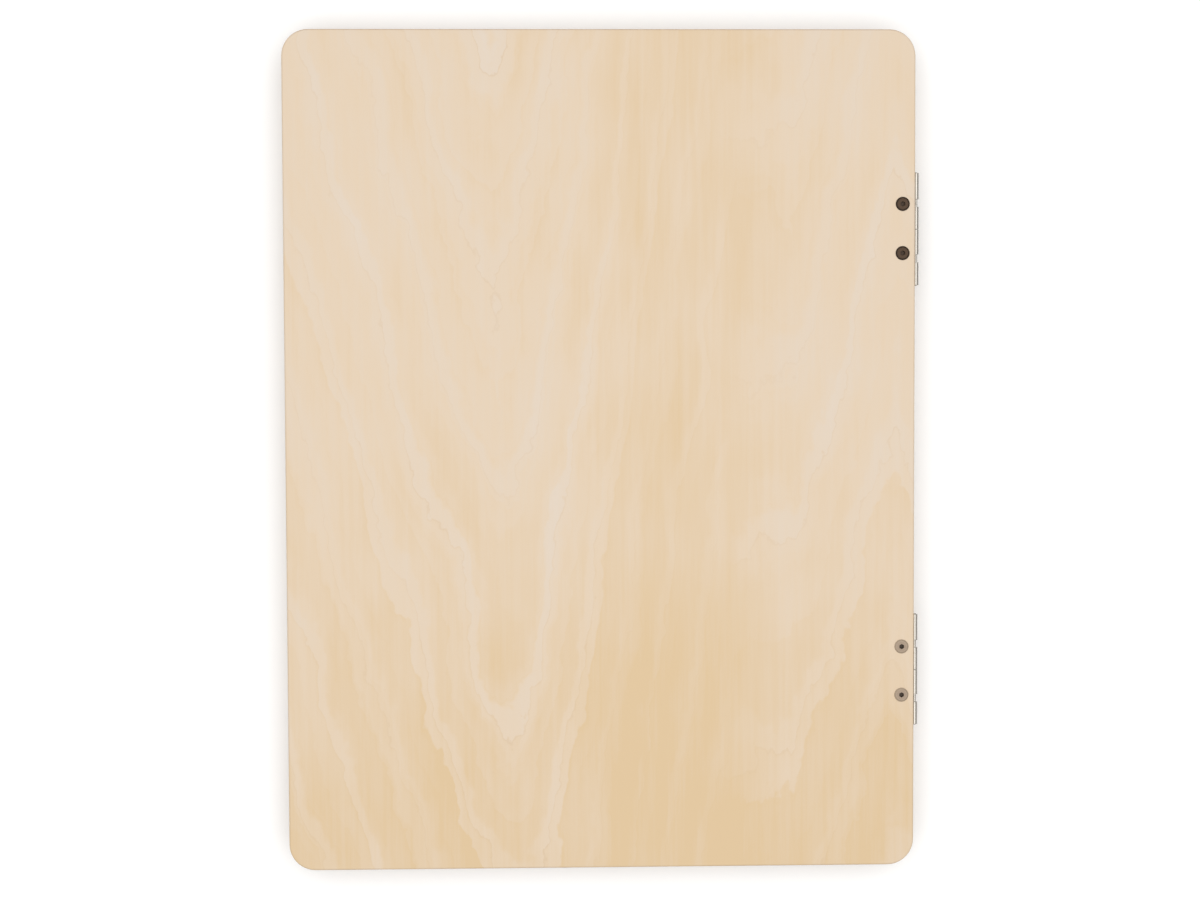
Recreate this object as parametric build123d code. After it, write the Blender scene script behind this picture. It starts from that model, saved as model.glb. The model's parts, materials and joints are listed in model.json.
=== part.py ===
from build123d import *

import os

# A drawing light box in a flat plywood case with a hinged plywood lid.
#
# The case is three layers of plywood with one outline: a bottom panel, a main frame that holds the
# light panel, and a top frame whose opening takes an opal acrylic work surface flush with the wood.
# The light panel is edge lit: two LED boards stand along the long sides of a light guide plate, which
# has a reflector and foam backing below it and a diffuser above it. A small control board in a pocket
# of the main frame carries a USB-C socket and the switch under the push button. The lid turns on two
# narrow butt hinges along the rear edge and rests on bumpers at the front.
#
# Frame: millimetres, X along the long side, Y from the front (opening) edge to the rear (hinged) edge,
# Z up. The origin is the centre of the lid's outline, on the surface that the feet stand on.

# Panels
LENGTH, WIDTH, CORNER_R = 480.0, 360.0, 15.0
CASE_INSET = 0.5
FOOT_H = 3.0
BOTTOM_T = 4.0
MAIN_FRAME_T = 9.0
TOP_FRAME_T = 4.0
LID_GAP = 2.0
LID_T = 5.0
LID_TOP_EASE, LID_UNDER_EASE, CASE_EASE = 1.0, 0.6, 0.7

# Heights that follow from them
Z_BOTTOM = FOOT_H
Z_MAIN = Z_BOTTOM + BOTTOM_T
Z_LEDGE = Z_MAIN + MAIN_FRAME_T
Z_CASE_TOP = Z_LEDGE + TOP_FRAME_T
Z_LID = Z_CASE_TOP + LID_GAP
Z_LID_TOP = Z_LID + LID_T
CASE_LENGTH = LENGTH - 2 * CASE_INSET
CASE_WIDTH = WIDTH - 2 * CASE_INSET
CASE_CORNER_R = CORNER_R - CASE_INSET

# Work surface, on a frame of foam tape
SURFACE_L, SURFACE_W, SURFACE_T, SURFACE_R = 440.0, 317.0, 3.0, 4.0
SURFACE_PLAY = 0.3
SURFACE_EASE = 0.3
TAPE_INSET, TAPE_WIDTH, TAPE_R = 0.5, 6.0, 3.5

# Light panel: every layer is centred on the case
CAVITY_L, CAVITY_W, CAVITY_R = 426.0, 303.0, 5.0
FILM_L, FILM_W, FILM_R = 422.0, 298.0, 1.0
GUIDE_L, GUIDE_W, GUIDE_T = 420.0, 297.0, 3.0
DIFFUSER_T, REFLECTOR_T = 0.5, 0.4
STACK_PLAY = 0.1
Z_STACK_TOP = Z_LEDGE - STACK_PLAY
Z_DIFFUSER = Z_STACK_TOP - DIFFUSER_T
Z_GUIDE = Z_DIFFUSER - GUIDE_T
Z_REFLECTOR = Z_GUIDE - REFLECTOR_T
FOAM_X = (-212.0, 207.0)
FOAM_Y = 148.0
FOAM_CUT_X, FOAM_CUT_Y = 194.0, 143.5

# LED boards, standing against the long walls of the cavity
LED_BOARD_L, LED_BOARD_T, LED_BOARD_H = 410.0, 1.0, 6.5
LED_BOARD_Y = CAVITY_W / 2 - LED_BOARD_T / 2
LED_FACE_Y = CAVITY_W / 2 - LED_BOARD_T
LED_L, LED_T, LED_H = 3.0, 0.8, 1.4
LED_COUNT, LED_PITCH = 48, 8.5

# Hinges: the barrel axis is just outside the rear edge, halfway up the gap under the lid
HINGE_X = 127.0
HINGE_L = 64.0
LEAF_T = 0.8
LEAF_W = 14.5
LEAF_CORNER_R = 2.0
PIN_R, PIN_PROUD = 0.9, 0.4
KNUCKLE_R = PIN_R + LEAF_T
AXIS_Y = WIDTH / 2 + 1.4
AXIS_Z = Z_CASE_TOP + LID_GAP / 2
LID_BORE_R, CASE_BORE_R = 0.95, 0.92
KNUCKLE_CLEARANCE = 0.35
NECK_Y = -1.3
SEAM_W, SEAM_DROP = 0.15, 0.35
LID_KNUCKLES = ((-32.0, -17.0), (0.3, 14.5))
CASE_KNUCKLES = ((-12.7, 0.1), (19.0, 32.0))
LEAF_HOLE_X, LEAF_HOLE_Y = 14.0, -8.6

# Lid fasteners: a barrel nut with a low head outside, and a countersunk screw from the leaf
POST_HEAD_R, POST_HEAD_T = 4.0, 0.8
POST_R, POST_BORE_R, POST_HOLE_R = 2.3, 1.55, 2.4
POST_LENGTH = 4.0
POST_SOCKET_AF, POST_SOCKET_DEPTH, POST_FLOOR = 2.6, 1.6, 1.0
LID_SCREW_HEAD_R, LID_SCREW_R, LID_SCREW_LENGTH = 2.75, 1.45, 3.2

# Screws of the case
CSK_HEAD_R, CSK_SHANK_R = 2.8, 1.45
CSK_RIM, CROSS_DEPTH = 0.2, 0.9
HINGE_SCREW_LENGTH, BOTTOM_SCREW_LENGTH = 10.0, 12.0
SCREW_CLEARANCE = 0.05
SCREW_SUNK = 0.1
BOTTOM_SCREW_X, BOTTOM_SCREW_Y, END_SCREW_X = 100.0, 165.0, 226.0

# Finger notch, catch and bumpers along the front edge
NOTCH_L, NOTCH_DEPTH, NOTCH_R = 80.0, 9.0, 8.0
BORDER_Y = -169.0
CATCH_X, CATCH_R, CATCH_T, MAGNET_T = 180.0, 5.0, 1.0, 2.0
BUMPER_X, BUMPER_R, BUMPER_H = 214.0, 4.0, 1.95

# Feet, held by screws that also hold the bottom panel at its corners
FOOT_X, FOOT_Y, FOOT_R, FOOT_TAPER = 222.0, 163.0, 8.0, 0.6
FOOT_RECESS_R, FOOT_RECESS_DEPTH, FOOT_HOLE_R = 3.8, 1.8, 1.6
FOOT_HEAD_R, FOOT_HEAD_Z = 3.1, 0.3
Z_FOOT_SCREW_TIP = Z_MAIN + 6.0

# Control board, in a pocket that opens into the cavity at the right
POCKET_X, POCKET_Y, POCKET_R = (212.0, 236.5), (84.0, 126.0), 0.9
BOARD_X, BOARD_Y, BOARD_T, BOARD_R = (216.0, 236.0), (86.0, 124.0), 1.6, 1.0
SPACER_R, SPACER_BORE_R, SPACER_H = 2.2, 1.1, 1.0
BOARD_SCREWS = ((219.0, 88.5), (233.0, 121.5))
BOARD_SCREW_HEAD_R, BOARD_SCREW_HEAD_H, BOARD_SCREW_R, BOARD_SCREW_DEPTH = 1.9, 1.2, 0.8, 2.8
Z_BOARD_TOP = Z_MAIN + SPACER_H + BOARD_T
INDUCTOR = (222.0, 107.0, 6.0, 6.0, 3.0)
CHIP = (223.0, 101.0, 4.9, 3.9, 1.5)
CAPACITOR_X, CAPACITOR_SIZE = 226.8, (2.0, 1.25, 1.0)
CAPACITOR_YS = (103.0, 106.0, 109.0)
PLUG_X, PLUG_FRONT_Y, PLUG_REAR_Y, PLUG_SIZE = 218.8, 95.0, 119.4, (5.0, 5.4, 2.8)

# USB-C socket and its window in the side wall
USB_Y, USB_W, USB_H, USB_DEPTH, USB_WALL = 95.0, 8.94, 3.26, 7.4, 0.3
USB_MOUTH_X, USB_BACK_T = 236.4, 1.0
TONGUE_W, TONGUE_T, TONGUE_RECESS = 6.7, 0.7, 0.8
Z_USB = Z_BOARD_TOP + USB_H / 2
PORT_W, PORT_H, PORT_R, PORT_CUT = 13.0, 7.0, 1.5, 6.0

# Push button over a tactile switch
BUTTON_X, BUTTON_Y, BUTTON_R, BUTTON_HOLE_R = 229.5, 115.0, 4.0, 4.2
BUTTON_FLANGE_R, BUTTON_FLANGE_T, BUTTON_PROUD = 5.25, 1.0, 0.9
BUTTON_PLAY = 0.1
DISH_R, DISH_DEPTH = 14.0, 0.3
SWITCH_SIDE, SWITCH_H, SWITCH_R = 6.2, 3.4, 0.6
PLUNGER_R, PLUNGER_HOLE_R, PLUNGER_ENGAGED, SWITCH_TRAVEL = 1.75, 1.85, 0.8, 0.8

# Leads from the control board to the LED boards, two side by side
LEAD_R = 0.6
LEAD_HALF_SPACE = 0.9
LEAD_EXIT_Z = Z_BOARD_TOP + 1.4
LEAD_RUN_X, LEAD_RUN_Y, LEAD_RUN_Z = 210.0, 146.2, Z_MAIN + LEAD_R + 0.15
LEAD_DIP = 10.0
LEAD_PAD_X, LEAD_PAD_Z = 199.0, Z_STACK_TOP - LED_BOARD_H + 1.0
LEAD_RISE_Y = 1.6
LEAD_BENDS = (2.0, 2.0, 2.0, 1.2, 1.0)

# Longer than any part is thick, for cuts that go right through
THROUGH = 60.0


# ---- helpers -------------------------------------------------------------------------------------

def plate(length, width, radius, thickness, z, x=0.0, y=0.0):
    """A flat plate with rounded corners, centred on (x, y), with its underside at height z."""
    return extrude(Pos(x, y, z) * RectangleRounded(length, width, radius), thickness)


def block(x_range, y_range, z_range):
    """A box between two corners."""
    size = [high - low for low, high in (x_range, y_range, z_range)]
    middle = [(low + high) / 2 for low, high in (x_range, y_range, z_range)]
    return Pos(*middle) * Box(*size)


def rod(radius, x, y, z_low, z_high):
    """An upright cylinder between two heights."""
    return Pos(x, y, (z_low + z_high) / 2) * Cylinder(radius, z_high - z_low)


def round_rim(part, radius, top):
    """Round the outer rim of a part's top or bottom face."""
    face = part.faces().sort_by(Axis.Z)[-1 if top else 0]
    return fillet(face.outer_wire().edges(), radius)


def cross_recess(reach, arm, depth):
    """The recess of a cross-head screw, from height 0 down."""
    return extrude(Rectangle(reach, arm) + Rectangle(arm, reach), -depth, taper=12)


def screw(head_r, shank_r, length):
    """A countersunk screw without its recess: its flat head is at height 0, and it points down."""
    cone_end = -CSK_RIM - (head_r - shank_r)
    profile = Polyline(
        (0, 0), (head_r, 0), (head_r, -CSK_RIM), (shank_r, cone_end),
        (shank_r, -length + shank_r), (0, -length), close=True,
    )
    return revolve(make_face(Plane.XZ * profile), Axis.Z)


def cross_head_screw(head_r, shank_r, length):
    return screw(head_r, shank_r, length) - cross_recess(1.2 * head_r, 0.35 * head_r, CROSS_DEPTH)


def screw_hole(head_r, shank_r, length):
    """What a countersunk screw needs cleared: itself, a little larger, and the space over its head."""
    grown = screw(head_r + SCREW_CLEARANCE, shank_r + SCREW_CLEARANCE, length + SCREW_CLEARANCE)
    return grown + rod(head_r + SCREW_CLEARANCE, 0, 0, -CSK_RIM, 2 * SCREW_SUNK)


def at(part, places):
    """Copies of a part at each place."""
    return [Pos(*place) * part for place in places]


def cut(part, tools):
    """A part with every tool taken away."""
    for tool in tools:
        part = part - tool
    return part


def save(name, *solids):
    """Write one node. A group of like pieces stays separate solids in one file."""
    shape = solids[0] if len(solids) == 1 else Compound(children=list(solids))
    export_step(shape, f"parts/{name}.step")


# ---- where the fasteners go ----------------------------------------------------------------------

SIDES = (("left", -1), ("right", 1))
ENDS = (("front", -1), ("rear", 1))
HINGE_HOLES = [
    (side * HINGE_X + hole * LEAF_HOLE_X, AXIS_Y + LEAF_HOLE_Y) for _, side in SIDES for hole in (-1, 1)
]
HINGE_SCREWS = [(x, y, Z_CASE_TOP + LEAF_T - SCREW_SUNK) for x, y in HINGE_HOLES]
LID_SCREWS = [(x, y, Z_LID - LEAF_T + SCREW_SUNK) for x, y in HINGE_HOLES]
POSTS = [(x, y, Z_LID_TOP) for x, y in HINGE_HOLES]
FEET = {
    f"foot_{end}_{side}": (x * FOOT_X, y * FOOT_Y, 0) for side, x in SIDES for end, y in ENDS
}
BOTTOM_SCREWS = [
    (x * BOTTOM_SCREW_X, y * BOTTOM_SCREW_Y, Z_BOTTOM + SCREW_SUNK) for x in (-1, 1) for y in (-1, 1)
]
BOTTOM_SCREWS += [(x * END_SCREW_X, 0.0, Z_BOTTOM + SCREW_SUNK) for x in (-1, 1)]
UPSIDE_DOWN = Rot(180, 0, 0)


# ---- case ----------------------------------------------------------------------------------------

def hinge_screw_holes():
    return at(screw_hole(CSK_HEAD_R, CSK_SHANK_R, HINGE_SCREW_LENGTH), HINGE_SCREWS)


def bottom_screw_holes():
    hole = UPSIDE_DOWN * screw_hole(CSK_HEAD_R, CSK_SHANK_R, BOTTOM_SCREW_LENGTH)
    return at(hole, BOTTOM_SCREWS)


def foot_screw_holes():
    radius = CSK_SHANK_R + SCREW_CLEARANCE
    return [rod(radius, x, y, 0, Z_FOOT_SCREW_TIP + SCREW_CLEARANCE) for x, y, _ in FEET.values()]


def bottom_panel():
    part = plate(CASE_LENGTH, CASE_WIDTH, CASE_CORNER_R, BOTTOM_T, Z_BOTTOM)
    part = round_rim(part, CASE_EASE, top=False)
    radius = BOARD_SCREW_R + SCREW_CLEARANCE
    depth = BOARD_SCREW_DEPTH + SCREW_CLEARANCE
    pilots = [rod(radius, x, y, Z_MAIN - depth, Z_MAIN) for x, y in BOARD_SCREWS]
    return cut(part, bottom_screw_holes() + foot_screw_holes() + pilots)


def port_window():
    """The way through the side wall to the USB-C socket."""
    outline = Rot(0, 90, 0) * RectangleRounded(PORT_H, PORT_W, PORT_R)
    return extrude(Pos(BOARD_X[1], USB_Y, Z_USB) * outline, PORT_CUT, dir=(1, 0, 0))


def main_frame():
    part = plate(CASE_LENGTH, CASE_WIDTH, CASE_CORNER_R, MAIN_FRAME_T, Z_MAIN)
    cavity = plate(CAVITY_L, CAVITY_W, CAVITY_R, MAIN_FRAME_T, Z_MAIN)
    pocket_size = (POCKET_X[1] - POCKET_X[0], POCKET_Y[1] - POCKET_Y[0])
    pocket_middle = (sum(POCKET_X) / 2, sum(POCKET_Y) / 2)
    pocket = plate(*pocket_size, POCKET_R, MAIN_FRAME_T, Z_MAIN, *pocket_middle)
    screws = bottom_screw_holes() + foot_screw_holes() + hinge_screw_holes()
    return cut(part, [cavity, pocket, port_window()] + screws)


def top_frame():
    part = plate(CASE_LENGTH, CASE_WIDTH, CASE_CORNER_R, TOP_FRAME_T, Z_LEDGE)
    notch = plate(NOTCH_L, 2 * NOTCH_DEPTH, NOTCH_R, TOP_FRAME_T, Z_LEDGE, 0, -CASE_WIDTH / 2)
    part = round_rim(part - notch, CASE_EASE, top=True)
    opening = plate(
        SURFACE_L + 2 * SURFACE_PLAY, SURFACE_W + 2 * SURFACE_PLAY, SURFACE_R + SURFACE_PLAY,
        TOP_FRAME_T, Z_LEDGE,
    )
    button_hole = rod(BUTTON_HOLE_R, BUTTON_X, BUTTON_Y, 0, THROUGH)
    disc_seats = [
        rod(CATCH_R + SCREW_CLEARANCE, side * CATCH_X, BORDER_Y, Z_CASE_TOP - CATCH_T, THROUGH)
        for _, side in SIDES
    ]
    return cut(part, [opening, button_hole] + disc_seats + hinge_screw_holes())


def catch_disc(side):
    return rod(CATCH_R, side * CATCH_X, BORDER_Y, Z_CASE_TOP - CATCH_T, Z_CASE_TOP)


def foot():
    """A rubber foot with its underside at height 0, recessed for a screw head."""
    part = Pos(0, 0, FOOT_H / 2) * Cone(FOOT_R - FOOT_TAPER, FOOT_R, FOOT_H)
    part = round_rim(part, 0.5, top=False)
    part = part - rod(FOOT_RECESS_R, 0, 0, 0, FOOT_RECESS_DEPTH)
    return part - rod(FOOT_HOLE_R, 0, 0, 0, FOOT_H)


def foot_screw():
    """A pan-head screw pointing up, with its head inside the foot's recess."""
    head = rod(FOOT_HEAD_R, 0, 0, FOOT_HEAD_Z, FOOT_RECESS_DEPTH)
    head = round_rim(head, 0.7, top=False)
    recess = UPSIDE_DOWN * cross_recess(3.4, 0.9, CROSS_DEPTH)
    head = head - Pos(0, 0, FOOT_HEAD_Z) * recess
    return head + rod(CSK_SHANK_R, 0, 0, FOOT_RECESS_DEPTH, Z_FOOT_SCREW_TIP)


# ---- light panel ---------------------------------------------------------------------------------

def work_surface():
    part = plate(SURFACE_L, SURFACE_W, SURFACE_R, SURFACE_T, Z_CASE_TOP - SURFACE_T)
    return round_rim(part, SURFACE_EASE, top=True)


def surface_tape():
    height = Z_CASE_TOP - SURFACE_T - Z_LEDGE
    length, width = SURFACE_L - 2 * TAPE_INSET, SURFACE_W - 2 * TAPE_INSET
    outer = plate(length, width, TAPE_R, height, Z_LEDGE)
    return outer - plate(length - 2 * TAPE_WIDTH, width - 2 * TAPE_WIDTH, TAPE_R, height, Z_LEDGE)


def backing_foam():
    """Foam under the reflector, with both right-hand corners cut away for the leads."""
    height = (Z_MAIN, Z_REFLECTOR)
    part = block(FOAM_X, (-FOAM_Y, FOAM_Y), height)
    corners = [
        block((FOAM_CUT_X, FOAM_X[1]), sorted((end * FOAM_CUT_Y, end * FOAM_Y)), height) for _, end in ENDS
    ]
    return cut(part, corners)


def led_board(end):
    return block(
        (-LED_BOARD_L / 2, LED_BOARD_L / 2), sorted((end * LED_FACE_Y, end * CAVITY_W / 2)),
        (Z_STACK_TOP - LED_BOARD_H, Z_STACK_TOP),
    )


def leds(end):
    """The LEDs of one board, facing the light guide plate."""
    y = end * (LED_FACE_Y - LED_T / 2)
    z = Z_GUIDE + GUIDE_T / 2
    first = -LED_PITCH * (LED_COUNT - 1) / 2
    return at(Box(LED_L, LED_T, LED_H), [(first + i * LED_PITCH, y, z) for i in range(LED_COUNT)])


def lead(end, offset):
    """One lead: out of the control board's plug, along the cavity's channel, up to the LED board.

    The two leads of a pair differ only in their offset, which keeps them side by side on every run.
    """
    plug_y = (PLUG_FRONT_Y if end < 0 else PLUG_REAR_Y) + offset
    outward = end * offset
    run_x = LEAD_RUN_X + outward
    run_y = LEAD_RUN_Y + outward
    pad_x = LEAD_PAD_X + outward
    path = FilletPolyline(
        (PLUG_X - PLUG_SIZE[0] / 2, plug_y, LEAD_EXIT_Z),
        (run_x, plug_y, LEAD_EXIT_Z),
        (run_x, plug_y + end * LEAD_DIP, LEAD_RUN_Z),
        (run_x, end * run_y, LEAD_RUN_Z),
        (pad_x, end * run_y, LEAD_RUN_Z),
        (pad_x, end * (LED_FACE_Y - LEAD_RISE_Y), LEAD_PAD_Z),
        (pad_x, end * LED_FACE_Y, LEAD_PAD_Z),
        radius=LEAD_BENDS,
    )
    return sweep(Plane(origin=path @ 0, z_dir=path % 0) * Circle(LEAD_R), path)


# ---- electronics ---------------------------------------------------------------------------------

def control_board():
    part = block(BOARD_X, BOARD_Y, (Z_BOARD_TOP - BOARD_T, Z_BOARD_TOP))
    part = fillet(part.edges().filter_by(Axis.Z), BOARD_R)
    return cut(part, [rod(SPACER_BORE_R, x, y, 0, THROUGH) for x, y in BOARD_SCREWS])


def board_spacer():
    top = Z_MAIN + SPACER_H
    return rod(SPACER_R, 0, 0, Z_MAIN, top) - rod(SPACER_BORE_R, 0, 0, Z_MAIN, top)


def board_screw():
    """A slotted cheese-head screw through the board and its spacer into the bottom panel."""
    top = Z_BOARD_TOP + BOARD_SCREW_HEAD_H
    head = round_rim(rod(BOARD_SCREW_HEAD_R, 0, 0, Z_BOARD_TOP, top), 0.5, top=True)
    head = head - Pos(0, 0, top) * Box(2 * BOARD_SCREW_HEAD_R, 0.5, BOARD_SCREW_HEAD_H)
    return head + rod(BOARD_SCREW_R, 0, 0, Z_MAIN - BOARD_SCREW_DEPTH, Z_BOARD_TOP)


def on_board(x, y, length, width, height):
    """A component standing on the control board."""
    return Pos(x, y, Z_BOARD_TOP + height / 2) * Box(length, width, height)


def power_inductor():
    return fillet(on_board(*INDUCTOR).edges().filter_by(Axis.Z), 1.2)


def usb_shell():
    """The socket's steel shell, closed at the back and open at the mouth."""
    def tube(wall, depth):
        width, height = USB_W - 2 * wall, USB_H - 2 * wall
        outline = Rot(0, 90, 0) * RectangleRounded(height, width, height / 2 - 0.05)
        return extrude(Pos(USB_MOUTH_X - depth, USB_Y, Z_USB) * outline, depth, dir=(1, 0, 0))
    return tube(0, USB_DEPTH) - tube(USB_WALL, USB_DEPTH - USB_BACK_T)


def usb_tongue():
    back = USB_MOUTH_X - USB_DEPTH + USB_BACK_T
    width = (USB_Y - TONGUE_W / 2, USB_Y + TONGUE_W / 2)
    height = (Z_USB - TONGUE_T / 2, Z_USB + TONGUE_T / 2)
    return block((back, USB_MOUTH_X - TONGUE_RECESS), width, height)


def switch_body():
    part = on_board(BUTTON_X, BUTTON_Y, SWITCH_SIDE, SWITCH_SIDE, SWITCH_H)
    part = fillet(part.edges().filter_by(Axis.Z), SWITCH_R)
    depth = Z_BOARD_TOP + SWITCH_H - PLUNGER_ENGAGED - SWITCH_TRAVEL
    return part - rod(PLUNGER_HOLE_R, BUTTON_X, BUTTON_Y, depth, THROUGH)


def switch_plunger():
    low = Z_BOARD_TOP + SWITCH_H - PLUNGER_ENGAGED
    return rod(PLUNGER_R, BUTTON_X, BUTTON_Y, low, Z_LEDGE - BUTTON_PLAY - BUTTON_FLANGE_T)


def button_cap():
    """The push button's cap: a flange below the top frame keeps it in, and its top is dished."""
    flange_top = Z_LEDGE - BUTTON_PLAY
    top = Z_CASE_TOP + BUTTON_PROUD
    cap = round_rim(rod(BUTTON_R, BUTTON_X, BUTTON_Y, flange_top, top), 0.5, top=True)
    cap = cap - Pos(BUTTON_X, BUTTON_Y, top + DISH_R - DISH_DEPTH) * Sphere(DISH_R)
    return cap + rod(BUTTON_FLANGE_R, BUTTON_X, BUTTON_Y, flange_top - BUTTON_FLANGE_T, flange_top)


# ---- hinges --------------------------------------------------------------------------------------

def along_barrel(radius, x_range):
    """A cylinder about the hinge axis, in the hinge's own frame."""
    middle = sum(x_range) / 2
    return Pos(middle, 0, 0) * (Rot(0, 90, 0) * Cylinder(radius, x_range[1] - x_range[0]))


def hinge_leaf(knuckles, bore_r, up):
    """A leaf in its hinge's frame: the barrel lies along X at the origin, the plate towards -Y.

    up is 1 for the lid's leaf and -1 for the case's, and turns the leaf over.
    """
    half = HINGE_L / 2
    inner, outer = up * (LID_GAP / 2 - LEAF_T), up * LID_GAP / 2
    thickness = sorted((inner, outer))
    root_y = -(KNUCKLE_R + KNUCKLE_CLEARANCE)
    leaf = block((-half, half), (-LEAF_W, root_y), thickness)
    leaf = fillet(leaf.edges().filter_by(Axis.Z).group_by(Axis.Y)[0], LEAF_CORNER_R)
    for span in knuckles:
        leaf = leaf + block(span, (root_y - LEAF_T, NECK_Y), thickness) + along_barrel(KNUCKLE_R, span)
    leaf = leaf - along_barrel(bore_r, (-HINGE_L, HINGE_L))
    seam_z = -up * SEAM_DROP
    seam = block((-HINGE_L, HINGE_L), (-KNUCKLE_R, NECK_Y / 2), (seam_z - SEAM_W / 2, seam_z + SEAM_W / 2))
    if up > 0:
        hole = UPSIDE_DOWN * screw_hole(LID_SCREW_HEAD_R, LID_SCREW_R, LID_SCREW_LENGTH)
    else:
        hole = screw_hole(CSK_HEAD_R, CSK_SHANK_R, HINGE_SCREW_LENGTH)
    head_z = inner + up * SCREW_SUNK
    return cut(leaf, [seam] + at(hole, [(side * LEAF_HOLE_X, LEAF_HOLE_Y, head_z) for side in (-1, 1)]))


def hinge_pin():
    end = HINGE_L / 2 + PIN_PROUD
    pin = along_barrel(PIN_R, (-end, end))
    return fillet(pin.edges().filter_by(GeomType.CIRCLE), PIN_PROUD - SEAM_W)


# ---- lid -----------------------------------------------------------------------------------------

def lid_panel():
    part = plate(LENGTH, WIDTH, CORNER_R, LID_T, Z_LID)
    part = round_rim(part, LID_TOP_EASE, top=True)
    part = round_rim(part, LID_UNDER_EASE, top=False)
    post_holes = [rod(POST_HOLE_R, x, y, 0, THROUGH) for x, y in HINGE_HOLES]
    magnet_seats = [
        rod(CATCH_R + SCREW_CLEARANCE, side * CATCH_X, BORDER_Y, 0, Z_LID + MAGNET_T) for _, side in SIDES
    ]
    return cut(part, post_holes + magnet_seats)


def lid_post():
    """A barrel nut: its head rests on the lid's top at height 0, and its barrel points down."""
    head = rod(POST_HEAD_R, 0, 0, 0, POST_HEAD_T)
    head = chamfer(head.edges().group_by(Axis.Z)[-1], 0.5, 0.9)
    post = head + rod(POST_R, 0, 0, -POST_LENGTH, 0)
    socket = RegularPolygon(POST_SOCKET_AF / 2, 6, major_radius=False)
    post = post - extrude(Pos(0, 0, POST_HEAD_T) * socket, -POST_SOCKET_DEPTH)
    return post - rod(POST_BORE_R, 0, 0, -POST_LENGTH, POST_HEAD_T - POST_SOCKET_DEPTH - POST_FLOOR)


def lid_magnet(side):
    return rod(CATCH_R, side * CATCH_X, BORDER_Y, Z_LID, Z_LID + MAGNET_T)


def lid_bumper(side):
    return round_rim(rod(BUMPER_R, side * BUMPER_X, BORDER_Y, Z_LID - BUMPER_H, Z_LID), 0.7, top=False)


# ---- build ---------------------------------------------------------------------------------------

def build_case():
    save("bottom_panel", bottom_panel())
    save("main_frame", main_frame())
    save("top_frame", top_frame())
    bottom_screw = UPSIDE_DOWN * cross_head_screw(CSK_HEAD_R, CSK_SHANK_R, BOTTOM_SCREW_LENGTH)
    save("bottom_screws", *at(bottom_screw, BOTTOM_SCREWS))
    for name, place in FEET.items():
        save(name, Pos(*place) * foot())
    save("foot_screws", *at(foot_screw(), FEET.values()))


def build_light_panel():
    save("work_surface", work_surface())
    save("surface_tape", surface_tape())
    save("diffuser_sheet", plate(FILM_L, FILM_W, FILM_R, DIFFUSER_T, Z_DIFFUSER))
    save("light_guide_plate", plate(GUIDE_L, GUIDE_W, FILM_R, GUIDE_T, Z_GUIDE))
    save("reflector_sheet", plate(FILM_L, FILM_W, FILM_R, REFLECTOR_T, Z_REFLECTOR))
    save("backing_foam", backing_foam())
    for name, end in ENDS:
        save(f"led_board_{name}", led_board(end))
        save(f"leds_{name}", *leds(end))
        save(f"lead_{name}_red", lead(end, -LEAD_HALF_SPACE))
        save(f"lead_{name}_black", lead(end, LEAD_HALF_SPACE))


def build_electronics():
    save("control_board", control_board())
    save("board_spacers", *at(board_spacer(), BOARD_SCREWS))
    save("board_screws", *at(board_screw(), BOARD_SCREWS))
    save("usb_shell", usb_shell())
    save("usb_tongue", usb_tongue())
    save("switch_body", switch_body())
    save("switch_plunger", switch_plunger())
    save("button_cap", button_cap())
    save("power_inductor", power_inductor())
    save("driver_chip", on_board(*CHIP))
    save("capacitors", *[on_board(CAPACITOR_X, y, *CAPACITOR_SIZE) for y in CAPACITOR_YS])
    save("lead_plugs", *[on_board(PLUG_X, y, *PLUG_SIZE) for y in (PLUG_FRONT_Y, PLUG_REAR_Y)])


def build_hinges():
    for name, side in SIDES:
        place = Pos(side * HINGE_X, AXIS_Y, AXIS_Z)
        save(f"hinge_leaf_case_{name}", place * hinge_leaf(CASE_KNUCKLES, CASE_BORE_R, up=-1))
        save(f"hinge_leaf_lid_{name}", place * hinge_leaf(LID_KNUCKLES, LID_BORE_R, up=1))
        save(f"hinge_pin_{name}", place * hinge_pin())
    hinge_screw = cross_head_screw(CSK_HEAD_R, CSK_SHANK_R, HINGE_SCREW_LENGTH)
    save("hinge_screws", *at(hinge_screw, HINGE_SCREWS))


def build_lid():
    save("lid_panel", lid_panel())
    half = len(POSTS) // 2
    save("lid_posts_left", *at(lid_post(), POSTS[:half]))
    save("lid_posts_right", *at(lid_post(), POSTS[half:]))
    lid_screw = UPSIDE_DOWN * cross_head_screw(LID_SCREW_HEAD_R, LID_SCREW_R, LID_SCREW_LENGTH)
    save("lid_screws", *at(lid_screw, LID_SCREWS))
    for name, side in SIDES:
        save(f"lid_magnet_{name}", lid_magnet(side))
        save(f"lid_bumper_{name}", lid_bumper(side))
        save(f"catch_disc_{name}", catch_disc(side))


os.makedirs("parts", exist_ok=True)
build_case()
build_light_panel()
build_electronics()
build_hinges()
build_lid()
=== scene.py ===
import json
import math

import bmesh
import bpy
from mathutils import Matrix, Vector


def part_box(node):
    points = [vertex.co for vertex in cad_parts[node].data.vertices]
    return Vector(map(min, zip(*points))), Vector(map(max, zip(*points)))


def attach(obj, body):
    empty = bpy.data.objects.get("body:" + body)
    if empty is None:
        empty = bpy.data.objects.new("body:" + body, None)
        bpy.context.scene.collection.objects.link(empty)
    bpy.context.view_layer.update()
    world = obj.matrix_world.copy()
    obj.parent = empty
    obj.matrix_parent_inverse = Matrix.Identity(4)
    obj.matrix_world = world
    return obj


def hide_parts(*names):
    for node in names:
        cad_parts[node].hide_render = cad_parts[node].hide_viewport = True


# The looks of a drawing light box in a plywood case with a hinged plywood lid.
# Lengths in the materials and the piece builders are in millimetres, in the frame of the CAD model:
# X along the long side, Y towards the hinges, Z up.

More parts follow.
